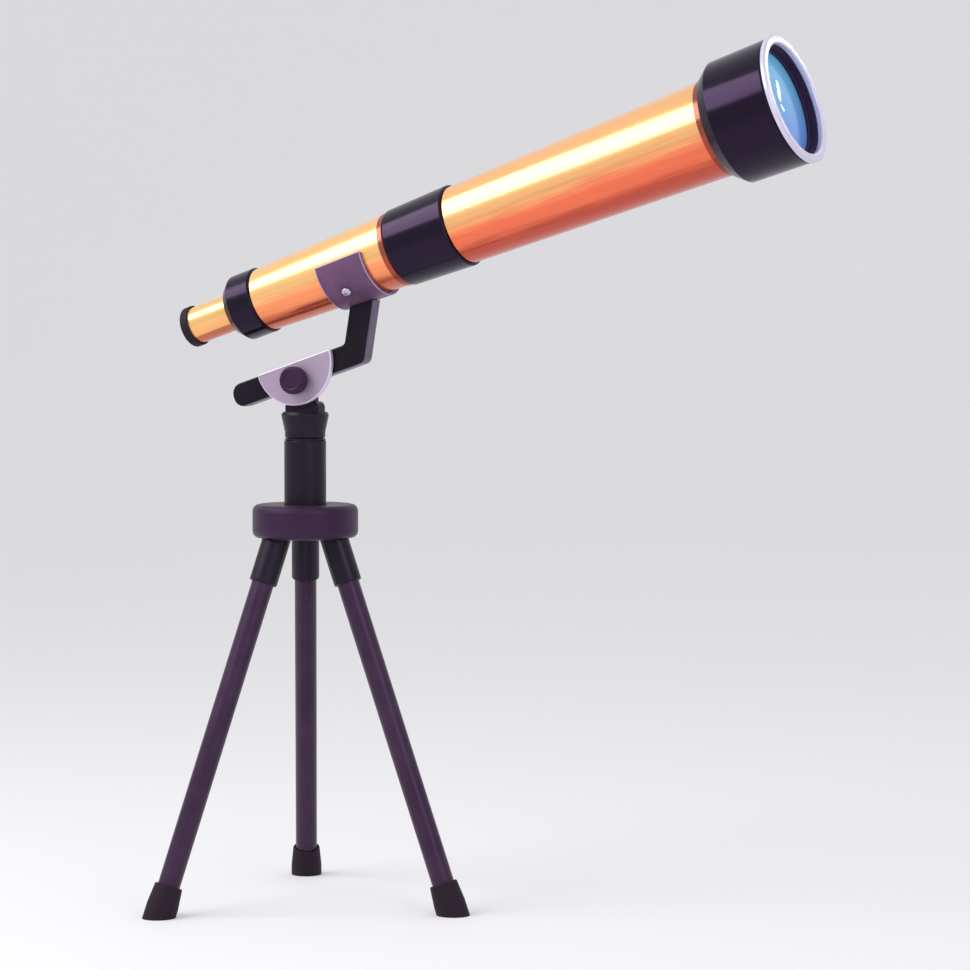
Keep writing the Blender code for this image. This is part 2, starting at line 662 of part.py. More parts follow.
def build_pan_head(pan):
    """The neck that turns on the column, with the tongue that the cradle tilts on."""
    black = (BLACK, 0.0, 0.4)
    hole_r, hole_top = PAN_BOLT_R + GAP, H_NECK_END + PAN_BOLT_DEPTH
    rim, flare_start, flare_top = 0.0010, H_NECK_END + 0.0030, H_NECK_TOP - 0.0015
    neck = turned_solid(
        "pan_head",
        [(hole_top, 0.0), (hole_top, hole_r), (H_NECK_END, hole_r), (H_NECK_END, NECK_R),
         (flare_start, NECK_R), (flare_top, NECK_TOP_R), (H_NECK_TOP, NECK_TOP_R - rim), (H_NECK_TOP, 0.0)],
        black, pan, steps=SMALL_STEPS)
    foot = flare_top - GAP
    corner_r = 0.0030
    block = rounded([(-BLOCK_HALF, foot, 0.0), (BLOCK_HALF, foot, 0.0), (BLOCK_HALF, H_BLOCK_TOP, corner_r),
                     (-BLOCK_HALF, H_BLOCK_TOP, corner_r)], segments=3)
    arc_steps = 8
    arc = [math.pi * k / arc_steps for k in range(arc_steps + 1)]
    tongue = [(-TONGUE_R, foot), (TONGUE_R, foot)]
    tongue += [(TONGUE_R * math.cos(a), TONGUE_R * math.sin(a)) for a in arc]
    join(neck, plate("pan_block", block, BLOCK_T, None, pan), plate("pan_tongue", tongue, TONGUE_T, None, pan))
    cut(neck, rod("tongue_hole", -TONGUE_T, TONGUE_T, BOLT_HOLE_R, None, pan, steps=TINY_STEPS,
                  rotation=(math.pi / 2, 0.0, 0.0)))

    plug_bottom = COLUMN_TOP - GAP - PLUG_LENGTH
    head_top = plug_bottom - GAP
    hex_bolt("pan_bolt", (head_top - PAN_BOLT_HEAD_T, head_top), hole_top - 2 * GAP, PAN_BOLT_HEAD_R,
             PAN_BOLT_R, (STEEL, 1.0, 0.4), pan)


def build_column(stand):
    """The column with its plug, washer and bolt, and the hub that carries the legs. Returns the hub."""
    black = (BLACK, 0.0, 0.4)
    steel = (STEEL, 1.0, 0.4)
    washer("swivel_washer", WASHER_TOP - WASHER_T, WASHER_TOP, COLUMN_R - GAP, PAN_BOLT_R + GAP,
           (BLACK, 0.0, 0.6), stand, steps=SMALL_STEPS)
    floor_top = COLUMN_BOTTOM + COLUMN_FLOOR
    bolt_hole = COLUMN_BOLT_R + GAP
    turned_shell(
        "column",
        [(COLUMN_BOTTOM, COLUMN_R), (COLUMN_TOP, COLUMN_R)],
        [(COLUMN_BOTTOM, bolt_hole), (floor_top, bolt_hole), (floor_top, COLUMN_BORE_R),
         (COLUMN_TOP, COLUMN_BORE_R)],
        black, stand, steps=SMALL_STEPS)
    washer("column_plug", COLUMN_TOP - GAP - PLUG_LENGTH, COLUMN_TOP - GAP, COLUMN_BORE_R - GAP,
           PAN_BOLT_R + GAP, black, stand, steps=SMALL_STEPS)

    recess, recess_r = 0.0042, 0.0052
    head_top = H_HUB_BOTTOM + recess - GAP
    nut_bottom = floor_top + GAP
    nut_top = nut_bottom + COLUMN_NUT_T
    tip = nut_top + 0.0010
    hex_bolt("column_bolt", (head_top - COLUMN_BOLT_HEAD_T, head_top), tip, COLUMN_BOLT_HEAD_R, COLUMN_BOLT_R,
             steel, stand)
    hex_nut("column_nut", nut_bottom, nut_top, COLUMN_NUT_R, bolt_hole, steel, stand)

    edge = HUB_EDGE
    socket = H_HUB_TOP - HUB_SOCKET
    arc_steps = 3
    arc = [math.pi / 2 * k / arc_steps for k in range(arc_steps + 1)]
    lower = [(H_HUB_BOTTOM + edge * (1 - math.cos(a)), HUB_R - edge * (1 - math.sin(a))) for a in arc]
    upper = [(H_HUB_TOP - edge * (1 - math.sin(a)), HUB_R - edge * (1 - math.cos(a))) for a in arc]
    return turned_shell(
        "hub",
        lower + upper,
        [(H_HUB_BOTTOM, recess_r), (H_HUB_BOTTOM + recess, recess_r), (H_HUB_BOTTOM + recess, bolt_hole),
         (socket, bolt_hole), (socket, COLUMN_R + GAP), (H_HUB_TOP, COLUMN_R + GAP)],
        (AUBERGINE, 0.0, 0.4), stand, steps=HUB_STEPS)


def build_leg(number, azimuth, stand, hub):
    """One leg: its pin in the hub, the sleeve that swings on it, the tube and the foot. Returns the foot."""
    angle = math.radians(azimuth)
    hinge_at = (HINGE_R * math.cos(angle), HINGE_R * math.sin(angle), H_HUB_BOTTOM + HINGE_RISE)
    radial = guide(f"leg_{number}_station", stand, hinge_at, (0.0, 0.0, angle))
    hinge = guide(f"leg_{number}_hinge", radial, rotation=(0.0, -SPLAY, 0.0))
    tangent = {"rotation": (math.pi / 2, 0.0, 0.0), "steps": TINY_STEPS}

    pin = f"leg_pin_{number}"
    rod(pin, -PIN_OUTER, PIN_INNER, PIN_R, (BLACK, 1.0, 0.4), radial, **tangent)
    outside = HUB_R * 1.1
    pin_bore = rod(pin + "_bore", -outside, PIN_INNER + GAP, PIN_R + GAP, None, radial, **tangent)
    half = SLEEVE_R + GAP
    reach = HUB_R - HINGE_R - HUB_WALL
    slot_top = SLEEVE_R + 2 * GAP
    slot = box(pin + "_slot", (-half - GAP, -half, -2 * HINGE_RISE), (reach, half, slot_top), None, radial)
    cut(hub, slot, pin_bore)

    steps = 4
    dome = [math.pi / 2 * k / steps for k in range(steps + 1)]
    edge = 0.0005
    sleeve = turned_solid(
        f"leg_sleeve_{number}",
        [(-SLEEVE_BORE_TOP, 0.0), (-SLEEVE_BORE_TOP, LEG_TUBE_R + GAP), (-SLEEVE_LENGTH, LEG_TUBE_R + GAP),
         (-SLEEVE_LENGTH, SLEEVE_R - edge), (-SLEEVE_LENGTH + edge, SLEEVE_R)]
        + [(SLEEVE_R * math.sin(a), SLEEVE_R * math.cos(a)) for a in dome[:-1]] + [(SLEEVE_R, 0.0)],
        (BLACK, 0.0, 0.4), hinge, steps=SMALL_STEPS)
    pin_hole = rod(f"leg_sleeve_{number}_hole", -SKIM, SKIM, PIN_R + GAP, None, hinge, **tangent)
    cut(sleeve, pin_hole)

    tube_end = -LEG_LENGTH + FOOT_FLOOR + GAP
    washer(f"leg_tube_{number}", tube_end, -SLEEVE_BORE_TOP - GAP, LEG_TUBE_R, LEG_TUBE_BORE_R,
           (AUBERGINE, 0.3, 0.4), hinge, steps=SMALL_STEPS)
    top = -LEG_LENGTH + FOOT_HEIGHT
    flat_end = -LEG_LENGTH + 0.0060
    below = -LEG_LENGTH - 1.5 * FOOT_R * math.tan(SPLAY)
    foot = turned_solid(
        f"foot_{number}",
        [(below, 0.0), (below, FOOT_R), (flat_end, FOOT_R), (top - edge, FOOT_TOP_R),
         (top, FOOT_TOP_R - edge), (top, LEG_TUBE_R + GAP), (tube_end - GAP, LEG_TUBE_R + GAP),
         (tube_end - GAP, 0.0)],
        (RUBBER, 0.0, 0.8), hinge, steps=SMALL_STEPS)
    return foot


def freeze_modifiers():
    """Turn every piece into a plain mesh, shaded smooth up to its sharp edges."""
    depsgraph = bpy.context.evaluated_depsgraph_get()
    meshes = {
        obj: bpy.data.meshes.new_from_object(obj.evaluated_get(depsgraph)) for obj in PARTS.objects
    }
    for obj, mesh in meshes.items():
        obj.modifiers.clear()
        obj.data = mesh
        mesh.shade_smooth()
        mesh.set_sharp_from_angle(angle=SHARP_ANGLE)


def build():
    stand = guide("stand_axis", location=(COLUMN_X, 0.0, PIVOT_Z))
    pan = guide("pan_axis", location=(COLUMN_X, 0.0, PIVOT_Z))
    tilt = guide("tilt_axis", pan, rotation=(0.0, -TILT, 0.0))
    axis = guide("optical_axis", tilt, (-PIVOT_U, 0.0, AXIS_RISE), (0.0, math.pi / 2, 0.0))

    rear_tube = build_tubes(axis)
    build_objective(axis)
    build_eyepiece(axis)
    bed, screw_hole = build_saddle(axis, rear_tube)
    build_cradle(tilt, bed, screw_hole)
    build_pan_head(pan)
    hub = build_column(stand)
    side = 0.4
    table = box("table_plane", (-side, -side, -side), (side, side, 0.0), None, None)
    for number, azimuth in enumerate(LEG_AZIMUTHS, start=1):
        cut(build_leg(number, azimuth, stand, hub), table)
    bpy.context.view_layer.update()
    freeze_modifiers()


build()
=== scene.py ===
import json
import math

import bmesh
import bpy
from mathutils import Matrix, Vector


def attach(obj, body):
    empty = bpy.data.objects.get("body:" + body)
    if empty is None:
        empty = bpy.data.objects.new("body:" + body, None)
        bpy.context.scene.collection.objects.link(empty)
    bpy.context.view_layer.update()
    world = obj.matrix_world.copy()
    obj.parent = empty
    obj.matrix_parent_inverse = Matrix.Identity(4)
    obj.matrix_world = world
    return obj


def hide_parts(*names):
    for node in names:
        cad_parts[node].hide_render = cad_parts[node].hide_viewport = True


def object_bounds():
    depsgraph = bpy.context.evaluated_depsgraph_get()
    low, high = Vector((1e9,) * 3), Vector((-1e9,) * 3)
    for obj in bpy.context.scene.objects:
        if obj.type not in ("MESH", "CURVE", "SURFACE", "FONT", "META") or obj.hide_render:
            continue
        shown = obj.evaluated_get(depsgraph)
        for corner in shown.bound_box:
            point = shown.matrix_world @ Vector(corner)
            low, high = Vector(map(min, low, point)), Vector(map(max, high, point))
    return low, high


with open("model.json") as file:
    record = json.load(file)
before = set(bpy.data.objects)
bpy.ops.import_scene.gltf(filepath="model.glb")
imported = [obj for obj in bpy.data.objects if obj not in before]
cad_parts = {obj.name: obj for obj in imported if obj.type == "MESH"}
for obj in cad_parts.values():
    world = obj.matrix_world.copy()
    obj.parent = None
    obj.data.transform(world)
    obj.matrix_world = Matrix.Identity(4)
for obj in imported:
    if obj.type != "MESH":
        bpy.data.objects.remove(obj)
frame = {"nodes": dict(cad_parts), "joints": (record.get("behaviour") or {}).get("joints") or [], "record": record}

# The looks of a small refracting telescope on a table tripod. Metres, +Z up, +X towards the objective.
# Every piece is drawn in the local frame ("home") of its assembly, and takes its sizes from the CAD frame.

cad_low, cad_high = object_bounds()

NODES = frame["nodes"]
JOINTS = {joint["name"]: joint for joint in frame["joints"]}
BODY_OF = {node: body for body, nodes in frame["record"]["behaviour"]["bodies"].items() for node in nodes}

MM = 0.001
TOUCH = 0.02 * MM                    # points closer than this are one point
FIT = 0.3 * MM                       # clearance between pieces that touch
FINE_STEPS, SMALL_STEPS = 192, 96    # facets round the optical tube and round thinner pieces
CAD_FACETS = 28                      # facets round the saddle in the CAD frame
SHARP_ANGLE = math.radians(35.0)
TURN_MIN = math.radians(8.0)         # gentler bends of an outline aren't corners
ARC_STEPS = 5
UP, NEAR = Vector((0, 0, 1)), Vector((0, -1, 0))

CAMERA_AZIMUTH, CAMERA_ELEVATION = math.radians(27.0), math.radians(3.0)
CAMERA_DISTANCE = 1.70
FRAME_FILL = 0.90                    # share of the picture's height that the object takes


# ---------------------------------------------------------------- frames

def make_home(origin, x_axis, z_axis):
    """A local frame with its Z along one direction and its X towards another."""
    z = Vector(z_axis).normalized()
    y = z.cross(Vector(x_axis)).normalized()
    return Matrix.Translation(origin) @ Matrix((y.cross(z), y, z)).transposed().to_4x4()


def reach(node, direction):
    """How far a CAD node reaches along a direction: its lowest and highest value."""
    values = [direction.dot(vertex.co) for vertex in NODES[node].data.vertices]
    return min(values), max(values)


def centroid(node):
    """The mean of a CAD node's corners."""
    vertices = NODES[node].data.vertices
    return sum((vertex.co for vertex in vertices), Vector()) / len(vertices)


PIVOT = Vector(JOINTS["tilt"]["pos_m"])
ALONG = -Vector(JOINTS["focus_slide"]["axis"]).normalized()
RISE = NEAR.cross(ALONG)             # square to the optical axis, upwards
AXIS_HEIGHT = sum(reach("objective_ring", RISE)) / 2
AXIS = make_home(ALONG * reach("eyecup", ALONG)[0] + RISE * AXIS_HEIGHT, RISE, ALONG)
CRADLE = make_home(PIVOT, ALONG, RISE)
CLAMP = make_home(PIVOT, RISE, NEAR)
STAND = make_home((PIVOT.x, 0, 0), (1, 0, 0), UP)


def station(node):
    """The lowest and highest place of a node along the optical axis."""
    return tuple(value - ALONG.dot(AXIS.translation) for value in reach(node, ALONG))


def on_axis(node):
    """The point of the optical axis at a node's middle."""
    return AXIS.translation + ALONG * sum(station(node)) / 2


def screw_home(node):
    """The frame of a screw in the rear tube: Z points outwards from the optical axis."""
    middle = centroid(node)
    foot = AXIS.translation + ALONG * ALONG.dot(middle - AXIS.translation)
    return make_home(foot, ALONG, middle - foot)


def leg_home(number):
    """The frame of a leg: origin on its hinge, Z up the leg and X away from the column."""
    joint = JOINTS[f"leg_{number}_fold"]
    hinge = Vector(joint["pos_m"])
    return make_home(hinge, UP.cross(Vector(joint["axis"])), hinge - centroid(f"leg_tube_{number}"))


# ---------------------------------------------------------------- mesh tools

def cad_outline(node, home, azimuth=0.0):
    """The outline of a turned CAD node as (along, radius) points in order, read at one azimuth.

    The second value says whether it is a closed loop. An open one runs forwards, from axis to axis.
    """
    shape = bmesh.new()
    shape.from_mesh(NODES[node].data)
    bmesh.ops.transform(shape, matrix=home.inverted(), verts=shape.verts)
    bmesh.ops.remove_doubles(shape, verts=shape.verts, dist=TOUCH)
    ahead = Vector((math.cos(azimuth), math.sin(azimuth)))
    side = {v for v in shape.verts if abs(ahead.cross(v.co.xy)) < TOUCH and ahead.dot(v.co.xy) > -TOUCH}
    steps = {v: [e.other_vert(v) for e in v.link_edges if e.other_vert(v) in side] for v in side}
    chain = []
    for here in sorted(side, key=lambda v: (len(steps[v]), v.co.z, v.co.xy.length)):
        walk = []
        while here:
            walk.append(here)
            here = next((v for v in steps[here] if v not in walk), None)
        chain = max(chain, walk, key=len)
    closed = len(steps[chain[0]]) > 1
    points = [(v.co.z, max(0.0, ahead.dot(v.co.xy))) for v in chain]
    shape.free()
    if not closed:
        if points[0][0] > points[-1][0]:
            points.reverse()
        if points[0][1] > TOUCH:
            points.insert(0, (points[0][0], 0.0))
        if points[-1][1] > TOUCH:
            points.append((points[-1][0], 0.0))
    return points, closed


def eased(points, closed, fillets):
    """The outline with its corners turned into arcs of one radius, or of a radius for each point."""
    count = len(points)
    radii = fillets if isinstance(fillets, list) else [fillets] * count
    drawn = []
    for i, (point, radius) in enumerate(zip(points, radii)):
        here = Vector(point)
        if not closed and i in (0, count - 1):
            drawn.append(here)
            continue
        back, ahead = Vector(points[i - 1]) - here, Vector(points[(i + 1) % count]) - here
        turn = math.pi - back.angle(ahead)
        if turn < TURN_MIN or radius <= 0:
            drawn.append(here)
            continue
        trim = min(radius * math.tan(turn / 2), 0.45 * back.length, 0.45 * ahead.length)
        radius = trim / math.tan(turn / 2)
        start, end = here + back.normalized() * trim, here + ahead.normalized() * trim
        centre = here + (back.normalized() + ahead.normalized()).normalized() * radius / math.cos(turn / 2)
        first, last = start - centre, end - centre
        spread = first.angle(last)
        for k in range(ARC_STEPS + 1):
            share = k / ARC_STEPS
            mix = first * math.sin((1 - share) * spread) + last * math.sin(share * spread)
            drawn.append(centre + mix / math.sin(spread))
    return [tuple(p) for p in drawn]


def link(name, mesh, home):
    obj = bpy.data.objects.new(name, mesh)
    bpy.context.scene.collection.objects.link(obj)
    obj.matrix_world = home
    return obj


def turned(name, points, closed, home, steps, start=0.0, sweep=math.tau):
    """Turn an outline of (along, radius) points round the home's Z axis, from one azimuth on."""
    mesh = bpy.data.meshes.new(name)
    count = len(points)
    edges = [(i, (i + 1) % count) for i in range(count if closed else count - 1)]
    corners = [(radius * math.cos(start), radius * math.sin(start), along) for along, radius in points]
    mesh.from_pydata(corners, edges, [])
    obj = link(name, mesh, home)
    screw = obj.modifiers.new("Turn", "SCREW")
    screw.axis = "Z"
    screw.angle = sweep
    screw.steps = screw.render_steps = steps
    screw.use_merge_vertices = True
    screw.merge_threshold = TOUCH / 4
    return freeze(obj, sweep < math.tau)


def plate(name, points, thickness, home, offset=0.0):
    """A flat piece: an outline of (x, z) points in the home's XZ plane, thick along its Y."""
    shape = bmesh.new()
    face = shape.faces.new([shape.verts.new((x, offset - thickness / 2, z)) for x, z in points])
    grown = bmesh.ops.extrude_face_region(shape, geom=[face])["geom"]
    moved = [v for v in grown if isinstance(v, bmesh.types.BMVert)]
    bmesh.ops.translate(shape, vec=(0, thickness, 0), verts=moved)
    bmesh.ops.recalc_face_normals(shape, faces=shape.faces)
    mesh = bpy.data.meshes.new(name)
    shape.to_mesh(mesh)
    shape.free()
    return link(name, mesh, home)


def block(name, low, high, home):
    (x, y, z), (x2, y2, z2) = low, high
    return plate(name, [(x, z), (x2, z), (x2, z2), (x, z2)], y2 - y, home, offset=(y + y2) / 2)


def freeze(obj, close_ends=False):
    """Turn the modifiers' result into the mesh, with its normals outwards."""
    depsgraph = bpy.context.evaluated_depsgraph_get()
    mesh = bpy.data.meshes.new_from_object(obj.evaluated_get(depsgraph))
    obj.modifiers.clear()
    obj.data = mesh
    shape = bmesh.new()
    shape.from_mesh(mesh)
    bmesh.ops.remove_doubles(shape, verts=shape.verts, dist=TOUCH / 4)
    if close_ends:
        bmesh.ops.holes_fill(shape, edges=[e for e in shape.edges if e.is_boundary], sides=0)
    bmesh.ops.recalc_face_normals(shape, faces=shape.faces)
    shape.to_mesh(mesh)
    shape.free()
    return obj


def combine(obj, others, operation="DIFFERENCE"):
    """Cut other shapes out of a piece, or join them to it; they are used up."""
    for other in others:
        boolean = obj.modifiers.new(other.name, "BOOLEAN")
        boolean.operation = operation
        boolean.object = other
    freeze(obj)
    for other in others:
        bpy.data.objects.remove(other, do_unlink=True)
    return obj


def soften(obj, width, segments=3, edge_slot=0, angle=math.radians(40.0)):
    """Round the sharp edges; the new faces take the material in the edge slot."""
    bevel = obj.modifiers.new("Edges", "BEVEL")
    bevel.width = width
    bevel.segments = segments
    bevel.limit_method = "ANGLE"
    bevel.angle_limit = angle
    bevel.material = edge_slot
    bevel.harden_normals = True
    return obj


def finish_piece(obj, node, *materials):
    """Shade the piece, hang it on its CAD body and let it stand for its CAD node."""
    obj.data.materials.clear()
    for material in materials:
        obj.data.materials.append(material)
    freeze(obj)
    obj.data.shade_smooth()
    obj.data.set_sharp_from_angle(angle=SHARP_ANGLE)
    weighted = obj.modifiers.new("Flat faces stay flat", "WEIGHTED_NORMAL")
    weighted.keep_sharp = True
    weighted.weight = 100
    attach(obj, BODY_OF[node])
    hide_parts(node)
    return obj


def refine(node, home, material, fillet, steps=FINE_STEPS, azimuth=0.0):
    """Turn a CAD node's own outline again, smooth and with its corners eased."""
    points, closed = cad_outline(node, home, azimuth)
    piece = turned("fine_" + node, eased(points, closed, fillet), closed, home, steps)
    return finish_piece(piece, node, material)


def keep_cad(node, material):
    """A CAD node whose shape is right as it is."""
    NODES[node].data.materials.clear()
    NODES[node].data.materials.append(material)


def paint_where(obj, material, test):
    """Give the faces that pass the test a material."""
    if material.name not in obj.data.materials:
        obj.data.materials.append(material)
    index = obj.data.materials.find(material.name)
    for face in obj.data.polygons:
        if test(face):
            face.material_index = index


# ---------------------------------------------------------------- material tools

def add(tree, kind, inputs=None, **settings):
    """A node with its settings and its inputs, each a value or the socket that drives it."""
    node = tree.nodes.new(kind)
    for name, value in settings.items():
        setattr(node, name, value)
    for name, value in (inputs or {}).items():
        if isinstance(value, bpy.types.NodeSocket):
            tree.links.new(value, node.inputs[name])
        else:
            node.inputs[name].default_value = value
    return node


def local_point(tree, scale=(1.0, 1.0, 1.0)):
    """The point in the piece's own frame, stretched."""
    point = add(tree, "ShaderNodeTexCoord").outputs["Object"]
    return add(tree, "ShaderNodeMapping", {"Vector": point, "Scale": scale}).outputs["Vector"]


def ring_point(tree):
    """The point's distance from the piece's Z axis and its height: a pattern on them runs in rings."""
    flat = local_point(tree, (1.0, 1.0, 0.0))
    radius = add(tree, "ShaderNodeVectorMath", {0: flat}, operation="LENGTH").outputs["Value"]
    height = add(tree, "ShaderNodeSeparateXYZ", {0: local_point(tree)}).outputs["Z"]
    return add(tree, "ShaderNodeCombineXYZ", {"X": radius, "Z": height}).outputs["Vector"]


def noise(tree, vector, scale, detail=3.0, roughness=0.5):
    values = {"Vector": vector, "Scale": scale, "Detail": detail, "Roughness": roughness}
    return add(tree, "ShaderNodeTexNoise", values).outputs["Fac"]


def remap(tree, value, low, high, to_low, to_high, smooth=False):
    values = {"Value": value, "From Min": low, "From Max": high, "To Min": to_low, "To Max": to_high}
    kind = "SMOOTHSTEP" if smooth else "LINEAR"
    return add(tree, "ShaderNodeMapRange", values, interpolation_type=kind).outputs["Result"]


def math_node(tree, operation, first, second):
    return add(tree, "ShaderNodeMath", {0: first, 1: second}, operation=operation).outputs[0]


def mix_colours(tree, share, first, second):
    node = add(tree, "ShaderNodeMix", data_type="RGBA")
    for socket, value in zip((0, 6, 7), (share, first, second)):
        if isinstance(value, bpy.types.NodeSocket):
            tree.links.new(value, node.inputs[socket])
        else:
            node.inputs[socket].default_value = value if socket == 0 else (*value, 1.0)
    return node.outputs[2]


def emboss(tree, height, distance, strength=1.0, below=None):
    values = {"Height": height, "Distance": distance, "Strength": strength}
    if below:
        values["Normal"] = below
    return add(tree, "ShaderNodeBump", values).outputs["Normal"]


def start_look(name, **sockets):
    """A material, its node tree and its shader, with fixed values set on the shader's sockets."""
    material = bpy.data.materials.new(name)
    material.use_nodes = True
    tree = material.node_tree
    shader = tree.nodes["Principled BSDF"]
    for socket, value in sockets.items():
        shader.inputs[socket.replace("_", " ")].default_value = value
    return material, tree, shader


def drive(tree, shader, **sockets):
    for socket, value in sockets.items():
        tree.links.new(value, shader.inputs[socket.replace("_", " ")])


def shaded(colour, factor):
    return tuple(min(1.0, channel * factor) for channel in colour)


# ---------------------------------------------------------------- materials

def gold_lacquer(name, top, low, deepest_shade):
    """Drawn aluminium under candy lacquer with fine lines, and painted shade: amber on faces that look up, deeper
    orange on faces that look down.
    """
    material, tree, shader = start_look(
        name, Metallic=0.62, Coat_Weight=0.25, Coat_Roughness=0.07, Coat_IOR=1.5)
    normal_for_painted_shade = add(tree, "ShaderNodeTexCoord").outputs["Normal"]
    height = add(tree, "ShaderNodeSeparateXYZ", {0: normal_for_painted_shade}).outputs["X"]
    lines = noise(tree, local_point(tree, (1.0, 1.0, 0.02)), 900.0, 4.0, 0.6)
    cloud = noise(tree, local_point(tree, (1.0, 1.0, 0.25)), 60.0, 2.0)
    height = math_node(tree, "ADD", height, remap(tree, lines, 0.3, 0.7, -0.05, 0.05))
    height = math_node(tree, "ADD", height, remap(tree, cloud, 0.3, 0.7, -0.05, 0.05))
    # Painted shade: the colour darkens from the top colour to the low one, and on to the deepest one, as the face
    # turns downwards.
    colour = mix_colours(tree, remap(tree, height, 0.0, -0.45, 0.0, 1.0, True), top, low)
    colour = mix_colours(tree, remap(tree, height, -0.62, -0.80, 0.0, 1.0, True), colour, deepest_shade)
    value = remap(tree, lines, 0.3, 0.7, 0.93, 1.05)
    dim = add(tree, "ShaderNodeHueSaturation", {"Color": colour, "Value": value})
    scratches = noise(tree, local_point(tree, (0.15, 0.15, 1.0)), 700.0, 5.0, 0.7)
    rough = remap(tree, scratches, 0.45, 0.8, 0.19, 0.26)
    peel = noise(tree, local_point(tree), 700.0, 2.0)
    normal = emboss(tree, peel, 0.02 * MM, 0.5)
    drive(tree, shader, Base_Color=dim.outputs["Color"], Roughness=rough,
          Normal=emboss(tree, lines, 0.012 * MM, 0.6, normal))
    return material


def moulded(name, colour, rough, grain, tint=(1.0, 1.0, 1.0), **sockets):
    """Moulded plastic or rubber: a fine spark-eroded grain, faint flow marks and a little dust."""
    material, tree, shader = start_look(name, Specular_Tint=(*tint, 1.0), **sockets)
    fine = noise(tree, local_point(tree), 2200.0, 2.0, 0.6)
    flow = noise(tree, local_point(tree, (1.0, 1.0, 0.4)), 45.0, 4.0)
    dust = noise(tree, local_point(tree), 420.0, 6.0, 0.75)
    share = remap(tree, flow, 0.35, 0.65, 0.0, 1.0)
    base = mix_colours(tree, share, shaded(colour, 0.85), shaded(colour, 1.2))
    dusty = shaded(tuple(channel + 0.05 for channel in colour), 1.6)
    base = mix_colours(tree, remap(tree, dust, 0.66, 0.80, 0.0, 0.35), base, dusty)
    roughness = math_node(tree, "ADD", remap(tree, flow, 0.3, 0.7, rough - 0.05, rough + 0.05),
                          remap(tree, dust, 0.55, 0.75, 0.0, 0.14))
    drive(tree, shader, Base_Color=base, Roughness=roughness, Normal=emboss(tree, fine, 0.03 * MM, grain))
    return material


def powder_coat(name, colour, rough, tint, metallic=0.0, level=0.5):
    """Paint baked on metal: a soft pebbled skin with small changes of gloss."""
    material, tree, shader = start_look(
        name, Specular_Tint=(*tint, 1.0), Metallic=metallic, Specular_IOR_Level=level)
    pebbles = add(tree, "ShaderNodeTexVoronoi", {"Vector": local_point(tree), "Scale": 1300.0},
                  feature="SMOOTH_F1").outputs["Distance"]
    cloud = noise(tree, local_point(tree), 70.0, 4.0)
    share = remap(tree, cloud, 0.35, 0.65, 0.0, 1.0)
    base = mix_colours(tree, share, shaded(colour, 0.85), shaded(colour, 1.2))
    drive(tree, shader, Base_Color=base, Roughness=remap(tree, cloud, 0.3, 0.7, rough - 0.06, rough + 0.06),
          Normal=emboss(tree, pebbles, 0.05 * MM, 0.5))
    return material


def brushed(name, colour, rough, stretch, metallic=1.0):
    """Satin metal with the fine lines that a brush leaves, or a lathe where no stretch is given."""
    material, tree, shader = start_look(name, Metallic=metallic)
    point = local_point(tree, stretch) if stretch else ring_point(tree)
    lines = noise(tree, point, 1500.0, 3.0, 0.6)
    cloud = noise(tree, local_point(tree), 90.0, 3.0)
    share = remap(tree, lines, 0.3, 0.7, 0.0, 1.0)
    base = mix_colours(tree, share, shaded(colour, 0.92), shaded(colour, 1.06))
    base = mix_colours(tree, remap(tree, cloud, 0.4, 0.75, 0.0, 0.5), base, shaded(colour, 0.88))
    drive(tree, shader, Base_Color=base, Roughness=remap(tree, lines, 0.3, 0.7, rough - 0.05, rough + 0.07),
          Normal=emboss(tree, lines, 0.01 * MM, 0.5))
    return material


def glass_with_painted_shade(name, top, bottom, span):
    """A lens with a blue coating, and painted shade: lighter sky blue above, darker violet blue below."""
    material, tree, shader = start_look(
        name, Transmission_Weight=0.06, IOR=1.45, Specular_IOR_Level=0.15, Coat_Weight=0.5,
        Coat_Roughness=0.02, Coat_IOR=1.35)
    height = add(tree, "ShaderNodeSeparateXYZ", {0: local_point(tree)}).outputs["X"]
    cloud = noise(tree, local_point(tree), 60.0, 2.0)
    # Painted shade: the colour turns from the top one to the bottom one over the span above and below the axis.
    share = remap(tree, height, span, -span, 0.0, 1.0, True)
    share = math_node(tree, "ADD", share, remap(tree, cloud, 0.3, 0.7, -0.06, 0.06))
    smears = noise(tree, local_point(tree, (1.0, 0.3, 1.0)), 260.0, 5.0, 0.7)
    drive(tree, shader, Base_Color=mix_colours(tree, share, top, bottom),
          Roughness=remap(tree, smears, 0.5, 0.8, 0.03, 0.12))
    return material


LILAC_TINT, VIOLET_TINT = (0.82, 0.62, 1.0), (0.74, 0.44, 1.0)
LENGTHWAYS, ROUND = (1.0, 1.0, 0.02), None

# The gold lacquers carry painted shade: each turns from its lighter amber above to darker orange below.
gold = gold_lacquer("gold_lacquer", (0.98, 0.52, 0.20), (0.86, 0.165, 0.07), (0.56, 0.07, 0.03))
gold_rear = gold_lacquer("gold_lacquer_rear", (0.99, 0.57, 0.21), (0.93, 0.29, 0.11), (0.60, 0.12, 0.05))
gold_draw = gold_lacquer("gold_lacquer_draw", (0.99, 0.58, 0.21), (0.97, 0.47, 0.17), (0.55, 0.14, 0.06))
gold_bead = gold_lacquer("gold_lacquer_bead", (0.30, 0.075, 0.045), (0.36, 0.05, 0.028), (0.27, 0.035, 0.018))
black_gloss = moulded(
    "black_plastic", (0.004, 0.004, 0.006), 0.18, 0.25, VIOLET_TINT, Specular_IOR_Level=0.32)
black_coat = powder_coat("black_metal", (0.005, 0.005, 0.006), 0.36, LILAC_TINT, level=0.32)
black_arm = powder_coat("black_metal_arm", (0.005, 0.005, 0.006), 0.36, LILAC_TINT, level=0.20)
